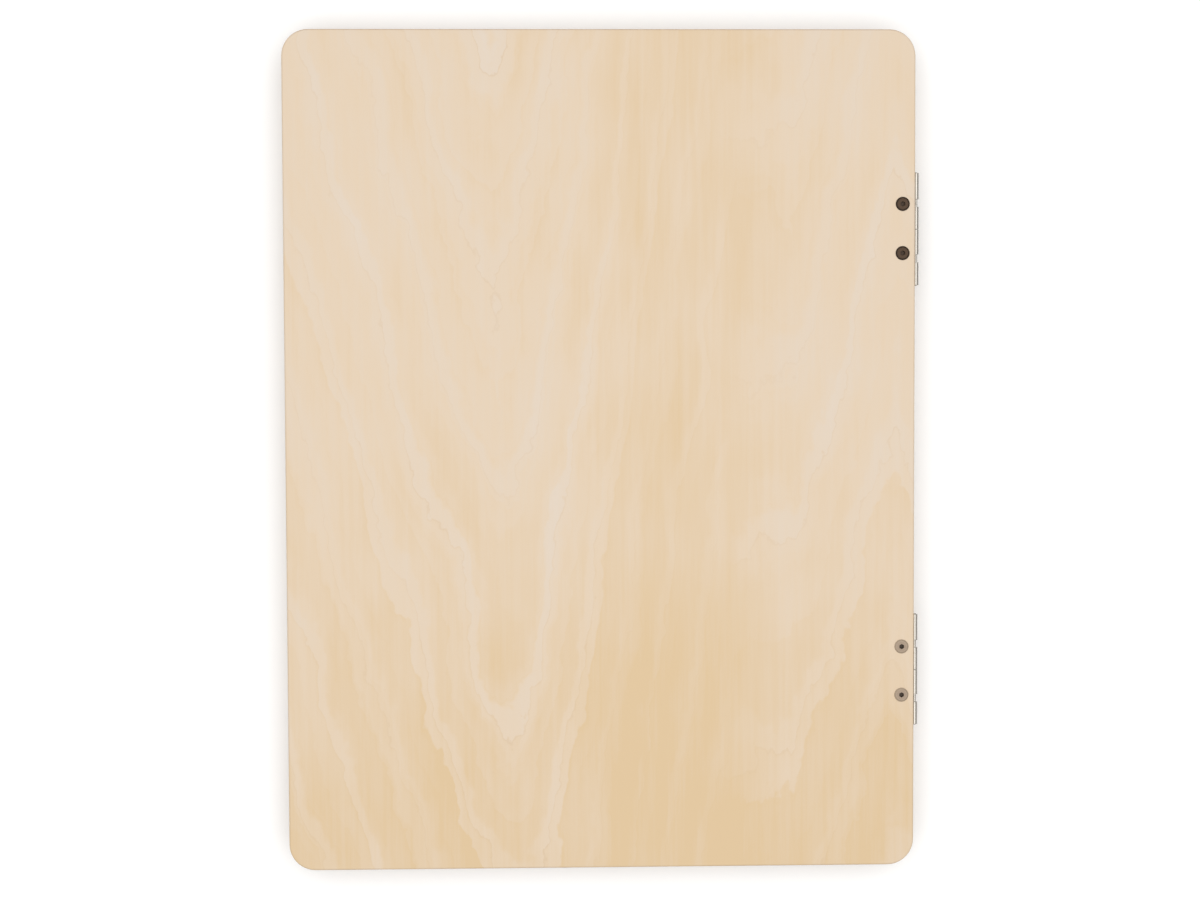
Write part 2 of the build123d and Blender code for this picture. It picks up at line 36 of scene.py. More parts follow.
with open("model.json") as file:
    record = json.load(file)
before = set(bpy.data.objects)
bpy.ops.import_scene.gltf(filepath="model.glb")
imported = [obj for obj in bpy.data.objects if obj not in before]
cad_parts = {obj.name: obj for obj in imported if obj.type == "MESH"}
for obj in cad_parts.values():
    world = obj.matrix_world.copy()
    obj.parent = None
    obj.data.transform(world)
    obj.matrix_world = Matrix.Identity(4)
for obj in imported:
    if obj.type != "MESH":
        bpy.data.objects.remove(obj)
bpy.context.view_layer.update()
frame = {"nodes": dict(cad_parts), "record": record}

MM = 0.001
NODES = frame["nodes"]
SLOT_OF = {part["node"]: part["material_slot"] for part in frame["record"]["subparts"]}


def box_mm(node):
    """The lowest and highest corner of a CAD node, in millimetres."""
    low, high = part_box(node)
    return low / MM, high / MM


LID_LOW, LID_HIGH = box_mm("lid_panel")
LID_SIZE = LID_HIGH - LID_LOW
CORNER_R = 15.0
LED_PITCH = 8.5
LED_COUNT = 48


# ---- shader graphs -------------------------------------------------------------------------------

def srgb(red, green, blue):
    """A colour given as 0 to 255 for a screen, as the linear colour that a shader takes."""
    def linear(level):
        share = level / 255
        return share / 12.92 if share <= 0.04045 else ((share + 0.055) / 1.055) ** 2.4
    return (linear(red), linear(green), linear(blue), 1.0)


SHADER_INPUTS = {
    "metallic": "Metallic",
    "specular": "Specular IOR Level",
    "ior": "IOR",
    "transmission": "Transmission Weight",
    "subsurface": "Subsurface Weight",
    "subsurface_scale": "Subsurface Scale",
}


class Value:
    """A number inside a shader. Arithmetic on Values adds Math nodes to the graph."""

    def __init__(self, graph, socket):
        self.graph = graph
        self.socket = socket

    def __add__(self, other):
        return self.graph.math("ADD", self, other)

    def __sub__(self, other):
        return self.graph.math("SUBTRACT", self, other)

    def __rsub__(self, other):
        return self.graph.math("SUBTRACT", other, self)

    def __mul__(self, other):
        return self.graph.math("MULTIPLY", self, other)

    def __truediv__(self, other):
        return self.graph.math("DIVIDE", self, other)


class Graph:
    """One material's node tree, with short calls for the nodes used here."""

    def __init__(self, name):
        self.material = bpy.data.materials.new(name)
        self.material.use_nodes = True
        self.tree = self.material.node_tree
        self.shader = self.tree.nodes["Principled BSDF"]
        coordinates = self.node("ShaderNodeTexCoord")
        self.point = self.scaled(coordinates.outputs["Object"], 1 / MM)
        self.x, self.y, self.z = self.split(self.point)
        self.normal = self.split(coordinates.outputs["Normal"])

    def node(self, kind, **settings):
        node = self.tree.nodes.new(kind)
        for key, value in settings.items():
            setattr(node, key, value)
        return node

    def plug(self, value, socket):
        if isinstance(value, Value):
            value = value.socket
        if isinstance(value, bpy.types.NodeSocket):
            self.tree.links.new(value, socket)
        else:
            socket.default_value = value

    def math(self, operation, *values):
        node = self.node("ShaderNodeMath", operation=operation)
        for value, socket in zip(values, node.inputs):
            self.plug(value, socket)
        return Value(self, node.outputs[0])

    def scaled(self, vector, factor):
        node = self.node("ShaderNodeVectorMath", operation="SCALE")
        self.plug(vector, node.inputs[0])
        node.inputs["Scale"].default_value = factor
        return node.outputs[0]

    def split(self, vector):
        node = self.node("ShaderNodeSeparateXYZ")
        self.plug(vector, node.inputs[0])
        return [Value(self, socket) for socket in node.outputs]

    def join(self, x, y, z):
        node = self.node("ShaderNodeCombineXYZ")
        for value, socket in zip((x, y, z), node.inputs):
            self.plug(value, socket)
        return node.outputs[0]

    def smooth(self, value, low, high):
        """0 below low, 1 above high, and a smooth rise between."""
        node = self.node("ShaderNodeMapRange", interpolation_type="SMOOTHSTEP")
        self.plug(value, node.inputs["Value"])
        node.inputs["From Min"].default_value = low
        node.inputs["From Max"].default_value = high
        return Value(self, node.outputs["Result"])

    def falling(self, value, low, high):
        return 1 - self.smooth(value, low, high)

    def noise(self, size, detail=1.5, seed=0.0, point=None):
        """Smooth noise, mostly between -1 and 1, with features of about size millimetres in x, y, z."""
        x, y, z = point or (self.x, self.y, self.z)
        node = self.node("ShaderNodeTexNoise")
        self.plug(self.join(x / size[0] + seed, y / size[1], z / size[2]), node.inputs["Vector"])
        node.inputs["Scale"].default_value = 1.0
        node.inputs["Detail"].default_value = detail
        return (Value(self, node.outputs["Fac"]) - 0.5) * 3.2

    def ramp(self, value, stops):
        """A curve through (position, level) stops. Levels are numbers from 0 to 1, or colours."""
        node = self.node("ShaderNodeValToRGB")
        self.plug(value, node.inputs[0])
        elements = node.color_ramp.elements
        while len(elements) < len(stops):
            elements.new(0.5)
        for element, (position, level) in zip(elements, stops):
            element.position = position
            element.color = level if isinstance(level, tuple) else (level, level, level, 1.0)
        return Value(self, node.outputs[0])

    def mix(self, share, first, second):
        """A colour between two colours."""
        node = self.node("ShaderNodeMix", data_type="RGBA")
        self.plug(share, node.inputs[0])
        self.plug(first, node.inputs[6])
        self.plug(second, node.inputs[7])
        return Value(self, node.outputs[2])

    def rounded(self, radius):
        """The surface's direction with its edges eased over a radius in millimetres."""
        node = self.node("ShaderNodeBevel", samples=6)
        node.inputs["Radius"].default_value = radius * MM
        return node.outputs[0]

    def finish(self, colour, roughness, height=None, easing=None, **uniform):
        """Wire up the shader: varying colour, roughness and height (mm), and uniform inputs."""
        self.plug(colour, self.shader.inputs["Base Color"])
        self.plug(roughness, self.shader.inputs["Roughness"])
        if height is not None:
            node = self.node("ShaderNodeBump")
            node.inputs["Strength"].default_value = 1.0
            node.inputs["Distance"].default_value = MM
            self.plug(height, node.inputs["Height"])
            if easing is not None:
                self.plug(self.rounded(easing), node.inputs["Normal"])
            self.plug(node.outputs[0], self.shader.inputs["Normal"])
        for key, value in uniform.items():
            self.shader.inputs[SHADER_INPUTS[key]].default_value = value
        return self.material


# ---- wood ----------------------------------------------------------------------------------------

VENEER_DEEP = srgb(204, 178, 140)
VENEER_MID = srgb(208, 188, 163)
VENEER_LIGHT = srgb(207, 192, 175)
VENEER_LINE = srgb(187, 162, 133)
END_GRAIN = srgb(168, 135, 101)
LONG_GRAIN = srgb(197, 169, 135)
GLUE_LINE = srgb(120, 88, 60)

# The face veneer's figure is made of rings seen where the knife cut across them. Its hearts, the centre
# lines of the arched stretches, are places across the grain.
RING_PERIOD = 123.0
RING_SHIFT = 208.4
FINE_PERIOD = 44.0
LEFT_HEART = -56.0
RIGHT_HEART = 89.0
FAR_HEART = 220.0


def valley(g, across, centre, base, left_slope, right_slope, roundness, half_floor=0.0):
    """The rise of the ring surfaces either side of a cathedral's centre line, or of its flat floor."""
    offset = across - centre
    left = g.math("MINIMUM", offset + half_floor, 0.0) * left_slope
    right = g.math("MAXIMUM", offset - half_floor, 0.0) * right_slope
    left = g.math("SQRT", left * left + roundness ** 2)
    right = g.math("SQRT", right * right + roundness ** 2)
    return left + right + (base - 2 * roundness)


def ring_tone(g, height):
    """How light a ring is at this height in the figure, from -1 to 1, and where its dark line is."""
    phase = g.math("FRACT", (height + RING_SHIFT) / RING_PERIOD)
    strength = g.noise((1, 1, 1), detail=0, point=(height / 86.0, 0.0, 0.0)) * 0.6 + 0.6
    strength = g.math("MINIMUM", g.math("MAXIMUM", strength, 0.08), 1.0)
    main = g.ramp(phase, [
        (0.0, 0.40), (0.03, 0.57), (0.16, 0.50), (0.22, 0.0), (0.6, 0.03),
        (0.76, 0.30), (0.84, 0.93), (0.97, 1.0), (0.985, 0.47), (1.0, 0.40),
    ])
    main = (main * 1.5 - 0.5) * strength * 0.76
    fine_phase = g.math("FRACT", height / FINE_PERIOD)
    fine = g.ramp(fine_phase, [(0.0, 0.0), (0.2, 0.46), (0.8, 1.0), (0.95, 1.0), (1.0, 0.0)])
    fine_strength = g.noise((1, 1, 1), detail=0, point=(height / 57.0, 7.0, 0.0)) * 0.25 + 0.16
    line = g.falling(g.math("ABSOLUTE", phase - 0.99), 0.0, 0.018) * (strength + 0.25)
    return main + (fine * 1.3 - 0.6) * fine_strength, line


def figure_rise(g, along, across):
    """The rise of the ring surfaces in the left and in the right half of the figure."""
    left = valley(
        g, across - along * 0.03, centre=LEFT_HEART, base=0.0, left_slope=4.0, right_slope=4.9,
        roundness=49.0,
    )
    left = left + g.smooth(across, -12.0, 57.0) * 60.0
    right = valley(
        g, across, centre=RIGHT_HEART, base=94.0, left_slope=7.4, right_slope=4.0, roundness=26.0,
        half_floor=19.0,
    )
    far = valley(
        g, across, centre=FAR_HEART, base=189.0, left_slope=3.0, right_slope=3.0, roundness=34.0,
    )
    blend = 34.0
    return left, g.math("SMOOTH_MIN", right, far, blend)


def ragged(g, point, seed):
    """How far the rings stray from smooth curves, in millimetres along the grain."""
    rough = g.noise((92, 69, 1), seed=seed + 8, point=point) * 36
    rough = rough + g.noise((27, 19, 1), seed=seed + 11, point=point) * 14
    rough = rough + g.noise((11, 7.5, 1), seed=seed + 17, point=point) * 8
    return rough + g.noise((5, 3, 1), detail=2, seed=seed + 19, point=point) * 4


def figure(g, point, seed):
    """How light the rings make the wood, where their dark lines are, and where the grain is straight."""
    along, side, _ = point
    across = side + g.noise((126, 51, 1), seed=seed, point=point) * 2.9
    across = across + g.noise((63, 17, 1), seed=seed + 3, point=point) * 1.4
    rough = ragged(g, point, seed)
    left_rise, right_rise = figure_rise(g, along, across)
    left_tone, left_line = ring_tone(g, along + left_rise + rough)
    right_tone, right_line = ring_tone(g, along + right_rise + rough)
    seam = g.smooth(side + g.noise((70, 17, 1), seed=seed + 23, point=point) * 8, 66.0, 81.0)
    straight = g.smooth(across, -25.0, 20.0) * g.falling(across, 78.0, 108.0)
    near_heart = g.falling(g.math("ABSOLUTE", across - LEFT_HEART), 30.0, 75.0)
    calm = near_heart * 0.3 - straight * 0.5 + 1
    broken = g.smooth(g.noise((38, 24, 1), seed=seed + 29, point=point), -1.3, 0.6)
    tone = (left_tone + (right_tone - left_tone) * seam) * calm
    line = (left_line + (right_line - left_line) * seam) * calm * broken
    return tone, line, straight


def veneer(g, shift_x, shift_y, seed):
    """The colour of a rotary-cut face veneer whose grain runs along X, its fine fibres and its pores."""
    along = g.x + shift_x
    point = (along, g.y + shift_y, 0.0)
    tone, line, straight = figure(g, point, seed)

    fibres = g.noise((34, 1.3, 1), seed=seed + 31, point=point) * 0.14
    fibres = fibres + g.noise((80, 2.9, 1), seed=seed + 37, point=point) * 0.22
    fibres = fibres + g.noise((170, 8, 1), seed=seed + 41, point=point) * 0.26
    fine_fibres = g.noise((14, 0.4, 0.4), detail=3, seed=seed + 43)
    patches = g.noise((92, 63, 1), seed=seed + 53, point=point) * 0.42
    patches = patches + g.noise((34, 29, 1), seed=seed + 59, point=point) * 0.17
    drift = g.noise((70, 40, 1), seed=seed + 67, point=point) * 45
    deeper = g.smooth(along + drift, -60.0, 300.0) * 1.15
    deeper = deeper + straight * 0.6
    tone = tone + fibres + fine_fibres * 0.12 + patches - deeper + 0.2
    colour = g.ramp(tone * 0.36 + 0.5, [(0.0, VENEER_DEEP), (0.5, VENEER_MID), (1.0, VENEER_LIGHT)])
    colour = g.mix(line * 0.2, colour, VENEER_LINE)
    pores = g.smooth(g.noise((3.2, 0.22, 0.3), detail=0, seed=seed + 61), 0.92, 1.3)
    colour = g.mix(pores * 0.22, colour, VENEER_LINE)
    return colour, fine_fibres, pores


def plywood(name, node, plies, shift_x=0.0, shift_y=0.0, seed=0.0):
    """Plywood through and through: face veneers, cross plies that alternate, and dark glue lines."""
    g = Graph(name)
    low, high = box_mm(node)
    thickness = high.z - low.z
    layer = (g.z - low.z) / (thickness / plies)
    index = g.math("FLOOR", layer)
    inner = g.smooth(layer, 0.98, 1.0) * g.falling(layer, plies - 1.0, plies - 0.98)
    crosswise = g.math("ABSOLUTE", g.math("MODULO", index, 2.0))
    face, fibres, pores = veneer(g, shift_x, shift_y, seed)

    end_of_x = g.smooth(g.math("ABSOLUTE", g.normal[0]), 0.35, 0.9)
    end_of_y = g.smooth(g.math("ABSOLUTE", g.normal[1]), 0.35, 0.9)
    end_share = end_of_x + (end_of_y - end_of_x) * crosswise
    cells = g.noise((0.35, 0.35, 0.22), detail=3, seed=seed + 71)
    strands_x = g.noise((18, 0.5, 0.3), detail=3, seed=seed + 73)
    strands_y = g.noise((0.5, 18, 0.3), detail=3, seed=seed + 79)
    strands = strands_x + (strands_y - strands_x) * crosswise
    blotch = g.noise((22, 22, 1.4), detail=2, seed=seed + 83)
    long_colour = g.mix(g.smooth(strands + blotch * 0.6, -1.4, 1.6), LONG_GRAIN, VENEER_LIGHT)
    end_colour = g.mix(g.smooth(cells * 0.7 + blotch * 0.8, -1.3, 1.6), END_GRAIN, LONG_GRAIN)
    edge = g.mix(end_share, long_colour, end_colour)
    side_face = g.mix(end_of_x, face, end_colour)
    colour = g.mix(inner, side_face, edge)

    from_joint = g.math("ABSOLUTE", g.math("FRACT", layer + 0.5) - 0.5) * (thickness / plies)
    glue = g.falling(from_joint + cells * 0.02, 0.03, 0.085)
    glue = glue * g.smooth(layer, 0.3, 0.5) * g.falling(layer, plies - 0.5, plies - 0.3)
    colour = g.mix(glue * 0.75, colour, GLUE_LINE)

    rim = rim_wear_and_shade(g)
    # Darker rim: partly handling wear, partly painted shade on the rounded edge.
    colour = g.mix(rim * 0.12, colour, srgb(168, 146, 122))
    height = fibres * 0.010 + strands * inner * 0.02 + cells * inner * 0.02 - glue * 0.04 - pores * 0.02
    roughness = fibres * 0.04 + rim * -0.08 + inner * 0.15 + 0.52
    return g.finish(colour, roughness, height, specular=0.4)


def rim_wear_and_shade(g):
    """1 on the rounded rim of the panels, falling to 0 a little way in: where hands rub, and where the
    rounded edge is painted darker as shade.
    """
    half_x = LID_SIZE.x / 2 - CORNER_R
    half_y = LID_SIZE.y / 2 - CORNER_R
    out_x = g.math("MAXIMUM", g.math("ABSOLUTE", g.x) - half_x, 0.0)
    out_y = g.math("MAXIMUM", g.math("ABSOLUTE", g.y) - half_y, 0.0)
    inside = CORNER_R - g.math("SQRT", out_x * out_x + out_y * out_y)
    rim_patches = g.noise((25, 25, 9), detail=3, seed=5)
    return g.falling(inside + rim_patches * 0.35, 0.2, 1.5) * g.smooth(rim_patches, -1.6, 0.2)


# ---- metals --------------------------------------------------------------------------------------

def scratches(g, size, seed):
    """Thin hairlines along the first long direction of size, from 0 to 1."""
    return g.smooth(g.noise(size, detail=1, seed=seed), 0.55, 1.1)


def polished_nickel():
    g = Graph("polished_nickel")
    haze = g.noise((6, 3, 3), detail=4, seed=2)
    hairlines = scratches(g, (7, 0.09, 0.09), 4) + scratches(g, (0.12, 5, 1.2), 9) * 0.6
    tarnish = g.smooth(g.noise((9, 5, 5), detail=5, seed=12), 0.25, 1.5)
    colour = g.mix(tarnish * 0.5, srgb(178, 173, 165), srgb(122, 113, 99))
    roughness = haze * 0.03 + hairlines * 0.12 + tarnish * 0.16 + 0.14
    return g.finish(colour, roughness, haze * 0.004 - hairlines * 0.006, easing=0.5, metallic=1.0)


def fastener_head(name, node, top, ring, wear, roughness, metallic, recess):
    """A low round head: a ring on its chamfer in painted light and shade, turned marks on top, a rubbed
    inner edge, and painted shade in its recess.
    """
    g = Graph(name)
    low, high = box_mm(node)
    middle = (low + high) / 2
    pitch = (high.x - low.x) - (high.y - low.y)
    fold = g.math("ABSOLUTE", g.math("ABSOLUTE", g.x - middle.x) - pitch / 2)
    out = g.y - middle.y
    radius = g.math("SQRT", fold * fold + out * out)
    marks = g.math("SINE", radius * 38.0) * g.falling(radius, 2.6, 3.2)
    dirt = g.noise((1.4, 1.4, 1.4), detail=5, seed=6)
    # Painted light on the chamfer: the ring colour is painted shade on the dark heads and a faint painted
    # highlight on the nickel heads. Patches of the same colour further down stand for dirt.
    colour = g.mix(g.smooth(radius + dirt * 0.12, 2.55, 3.3), top, ring)
    edge = g.falling(g.math("ABSOLUTE", radius - 3.1), 0.05, 0.22) * g.smooth(dirt, -0.6, 0.8)
    colour = g.mix(edge * 0.55, colour, wear)
    colour = g.mix(g.smooth(dirt, 0.5, 1.6) * 0.4, colour, ring)
    # Painted shade: the recess in the middle of the head is darkened towards near black.
    sunk = g.falling(g.z, high.z - 0.6, high.z - 0.2) * g.falling(radius, 1.6, 2.0)
    colour = g.mix(sunk * recess, colour, srgb(44, 33, 24))
    rough = dirt * 0.06 + edge * -0.1 + roughness
    return g.finish(
        colour, rough, marks * 0.006 + dirt * 0.012, easing=0.15, metallic=metallic, specular=0.3,
    )


def zinc_steel():
    g = Graph("zinc_steel")
    spangle = g.noise((1.1, 1.1, 1.1), detail=5, seed=3)
    hairlines = scratches(g, (0.1, 3.0, 0.1), 8)
    colour = g.mix(g.smooth(spangle, -1.2, 1.4), srgb(168, 166, 160), srgb(206, 205, 198))
    return g.finish(colour, spangle * 0.06 + hairlines * 0.1 + 0.3, spangle * 0.006, metallic=1.0)


def bright_disc():
    """Nickel-plated discs with a fine turned pattern and rub marks from closing."""
    g = Graph("bright_disc")
    low, high = box_mm("catch_disc_right")
    middle = (low + high) / 2
    out_x = g.math("ABSOLUTE", g.x) - middle.x
    out_y = g.y - middle.y
    radius = g.math("SQRT", out_x * out_x + out_y * out_y)
    turned = g.math("SINE", radius * 17.0)
    rubs = scratches(g, (0.07, 3.0, 0.5), 5)
    haze = g.noise((6, 6, 6), detail=2, seed=7)
    rim = g.smooth(radius, 4.5, 4.9)
    colour = g.mix(g.smooth(haze + turned * 0.5, -1.8, 2.2), srgb(214, 212, 207), srgb(186, 183, 177))
    # Painted shade: the disc's outer edge and side are darkened.
    colour = g.mix(rim * 0.5, colour, srgb(128, 124, 118))
    rough = haze * 0.02 + rubs * 0.1 + turned * 0.04 + 0.24
    return g.finish(colour, rough, turned * 0.005 - rubs * 0.004, metallic=1.0)


def socket_steel():
    g = Graph("socket_steel")
    drawn = g.noise((6, 0.16, 0.16), detail=3, seed=4)
    colour = g.mix(g.smooth(drawn, -1.5, 1.5), srgb(178, 178, 180), srgb(214, 214, 214))
    return g.finish(colour, drawn * 0.05 + 0.28, drawn * 0.004, metallic=1.0)


def gold_contact():
    """Gold-plated contacts with wipe marks along their length."""
    g = Graph("gold_contact")
    wipe = g.noise((1.5, 0.05, 0.05), detail=2, seed=3)
    colour = g.mix(g.smooth(wipe, -1, 1.2), srgb(222, 182, 104), srgb(196, 156, 84))
    return g.finish(colour, wipe * 0.06 + 0.26, wipe * 0.002, metallic=1.0)


# ---- plastics, rubber and films ------------------------------------------------------------------

def opal_acrylic():
    """The work surface: milky, with a fine satin grain, faint wipe marks, and lighter towards its cut
    edge: partly the whiter sawn edge, partly painted light in a band a few millimetres wide.
    """
    g = Graph("opal_acrylic")
    satin = g.noise((0.5, 0.5, 0.5), detail=3, seed=1)
    cloud = g.noise((120, 90, 40), detail=2, seed=5)
    wipes = scratches(g, (55, 0.25, 3), 9) * 0.6 + scratches(g, (0.3, 38, 3), 14) * 0.4
    _, high = box_mm("work_surface")
    from_edge = g.math(
        "MINIMUM", high.x - g.math("ABSOLUTE", g.x), high.y - g.math("ABSOLUTE", g.y)
    )
    edge = g.falling(from_edge, 0.3, 6.0)
    colour = g.mix(g.smooth(cloud, -1.2, 1.2), srgb(198, 200, 197), srgb(205, 206, 203))
    # Lighter towards the cut edge: partly the whiter sawn edge, partly painted light running 6 mm in from
    # it.
    colour = g.mix(edge * 0.6, colour, srgb(210, 213, 211))
    return g.finish(
        colour, satin * 0.03 + wipes * 0.07 + cloud * 0.02 + 0.36, satin * 0.003 - wipes * 0.002,
        ior=1.49, subsurface=0.25, subsurface_scale=0.004,
    )


def moulded(name, base, dark, roughness):
    """Moulded plastic with a fine spark-eroded grain and slight handling marks."""
    g = Graph(name)
    fine = g.noise((0.25, 0.25, 0.25), detail=3, seed=3)
    marks = g.noise((5, 5, 5), detail=5, seed=9)
    colour = g.mix(g.smooth(marks + fine * 0.4, -1.2, 1.6), base, dark)
    return g.finish(colour, fine * 0.05 + marks * 0.05 + roughness, fine * 0.012)


def foot_rubber():
    """Matt black rubber with dust caught in its grain and a paler, scuffed rim where it stands."""
    g = Graph("foot_rubber")
    grain = g.noise((0.5, 0.5, 0.5), detail=4, seed=8)
    dust = g.smooth(g.noise((3.5, 3.5, 3.5), detail=6, seed=2), 0.15, 1.4)
    scuff = g.falling(g.z, 0.0, 0.35) * g.smooth(grain, -0.4, 1.0)
    colour = g.mix(dust * 0.3, srgb(38, 38, 38), srgb(104, 100, 94))
    colour = g.mix(scuff * 0.35, colour, srgb(120, 116, 110))
    return g.finish(colour, grain * 0.05 + 0.82, grain * 0.03, specular=0.3)


def clear_silicone():
    """Milky clear silicone, which takes up light from around it."""
    g = Graph("clear_silicone")
    cloud = g.noise((1.5, 1.5, 1.5), detail=4, seed=6)
    painted_light_on_level_faces = g.smooth(g.math("ABSOLUTE", g.normal[2]), 0.2, 0.9)
    colour = g.mix(g.smooth(cloud, -1, 1.5), srgb(216, 219, 218), srgb(208, 210, 207))
    # Painted light: faces that lie level are made lighter than the sides.
    colour = g.mix(painted_light_on_level_faces * 0.4, colour, srgb(222, 224, 222))
    return g.finish(
        colour, cloud * 0.03 + 0.24, cloud * 0.002, easing=0.3, ior=1.41, subsurface=0.6,
        subsurface_scale=0.003,
    )


def foam(name, base, dark):
    g = Graph(name)
    cell = g.node("ShaderNodeTexVoronoi")
    g.plug(g.point, cell.inputs["Vector"])
    cell.inputs["Scale"].default_value = 1.6
    pits = Value(g, cell.outputs["Distance"])
    blotch = g.noise((14, 14, 6), detail=3, seed=3)
    # Painted shade: the foam's pits are darkened towards the dark colour.
    colour = g.mix(g.smooth(pits + blotch * 0.12, 0.1, 0.8), dark, base)
    return g.finish(colour, blotch * 0.04 + 0.88, pits * 0.25, specular=0.2)


def film(name, base, tint, roughness, **uniform):
    """A thin sheet: nearly even, with faint waves and handling marks."""
    g = Graph(name)
    wave = g.noise((90, 60, 20), detail=2, seed=4)
    fine = g.noise((0.8, 0.8, 0.8), detail=3, seed=6)
    colour = g.mix(g.smooth(wave + fine * 0.2, -1.2, 1.4), base, tint)
    return g.finish(colour, wave * 0.04 + fine * 0.02 + roughness, wave * 0.05 + fine * 0.002, **uniform)


def light_guide():
    """Clear acrylic with staggered rows of printed dots that grow away from the LEDs."""
    g = Graph("light_guide")
    pitch = 2.0
    row = g.math("FLOOR", g.y / pitch)
    stagger = g.math("ABSOLUTE", g.math("MODULO", row, 2.0)) * 0.5
    cell_x = g.math("FRACT", g.x / pitch + stagger) - 0.5
    cell_y = g.math("FRACT", g.y / pitch) - 0.5
    radius = g.math("SQRT", cell_x * cell_x + cell_y * cell_y) * pitch
    _, high = box_mm("light_guide_plate")
    from_leds = 1 - g.math("ABSOLUTE", g.y) / high.y
    wanted = from_leds * 0.4 + 0.28
    dot = g.falling(radius - wanted, -0.04, 0.04)
    haze = g.noise((40, 40, 10), detail=3, seed=2)
    colour = g.mix(dot, srgb(222, 236, 236), srgb(248, 248, 246))
    rough = dot * 0.5 + haze * 0.02 + 0.08
    return g.finish(colour, rough, dot * 0.01, ior=1.49, transmission=0.45)


def led_board():
    """White solder mask with a copper pad pair at each LED and two feed lines along the lower edge."""
    g = Graph("led_board_mask")
    cell = g.math("ABSOLUTE", g.math("FRACT", g.x / LED_PITCH) - 0.5) * LED_PITCH
    low, high = box_mm("led_board_front")
    up = g.z - low.z
    led_height = (high.z - low.z) * 0.69
    pad_out, first_line, second_line = 2.4, 1.0, 2.1
    pad = g.falling(g.math("ABSOLUTE", cell - pad_out), 0.35, 0.45)
    pad = pad * g.falling(g.math("ABSOLUTE", up - led_height), 0.6, 0.7)
    line = g.falling(g.math("ABSOLUTE", up - first_line), 0.25, 0.3)
    line = line + g.falling(g.math("ABSOLUTE", up - second_line), 0.25, 0.3)
    grain = g.noise((0.6, 0.6, 0.6), detail=3, seed=4)
    colour = g.mix(g.smooth(grain, -1.5, 1.5), srgb(232, 232, 226), srgb(240, 240, 236))
    colour = g.mix(line * 0.35, colour, srgb(206, 204, 190))
    colour = g.mix(pad, colour, srgb(212, 190, 140))
    return g.finish(colour, grain * 0.03 + 0.42, line * 0.02 + pad * -0.01 + grain * 0.002)


def led_case():
    """White moulded LED cases with a fine grain."""
    g = Graph("led_case")
    grain = g.noise((0.2, 0.2, 0.2), detail=3, seed=4)
    colour = g.mix(g.smooth(grain, -1.5, 1.5), srgb(232, 230, 222), srgb(242, 241, 236))
    return g.finish(colour, grain * 0.04 + 0.38, grain * 0.004)


def phosphor():
    """The yellow gel over an LED."""
    g = Graph("phosphor")
    grain = g.noise((0.12, 0.12, 0.12), detail=3, seed=2)
    colour = g.mix(g.smooth(grain, -1.2, 1.2), srgb(236, 202, 84), srgb(246, 218, 112))
    return g.finish(colour, grain * 0.05 + 0.4, grain * 0.006)


def circuit_board():
    """Green solder mask over copper tracks that run along X in some areas and along Y in others."""
    g = Graph("circuit_board")
    pitch_x, pitch_y = 1.9, 2.3
    track_x = g.math("ABSOLUTE", g.math("FRACT", g.x / pitch_x) - 0.5)
    track_y = g.math("ABSOLUTE", g.math("FRACT", g.y / pitch_y) - 0.5)
    area = g.noise((4, 4, 4), detail=0, seed=6)
    tracks = g.falling(track_x, 0.1, 0.13) * g.smooth(area, 0.0, 0.1)
    tracks = tracks + g.falling(track_y, 0.1, 0.13) * g.falling(area, -0.1, 0.0)
    weave = g.noise((0.5, 0.5, 0.5), detail=3, seed=8)
    colour = g.mix(tracks * 0.8, srgb(20, 74, 40), srgb(44, 112, 62))
    cut_edge = g.falling(g.math("ABSOLUTE", g.normal[2]), 0.2, 0.6)
    colour = g.mix(cut_edge, colour, srgb(176, 168, 110))
    return g.finish(colour, weave * 0.04 + cut_edge * 0.3 + 0.32, tracks * 0.02 + weave * 0.003)


# ---- assigning the materials to the CAD parts ----------------------------------------------------

WOODEN = {
    "lid_panel": plywood("lid_plywood", "lid_panel", plies=5),
    "top_frame": plywood(
        "top_frame_plywood", "top_frame", plies=3, shift_x=37.0, shift_y=-61.0, seed=101.0),
    "main_frame": plywood(
        "main_frame_plywood", "main_frame", plies=7, shift_x=-90.0, shift_y=44.0, seed=203.0),
    "bottom_panel": plywood(
        "bottom_plywood", "bottom_panel", plies=3, shift_x=15.0, shift_y=28.0, seed=307.0),
}

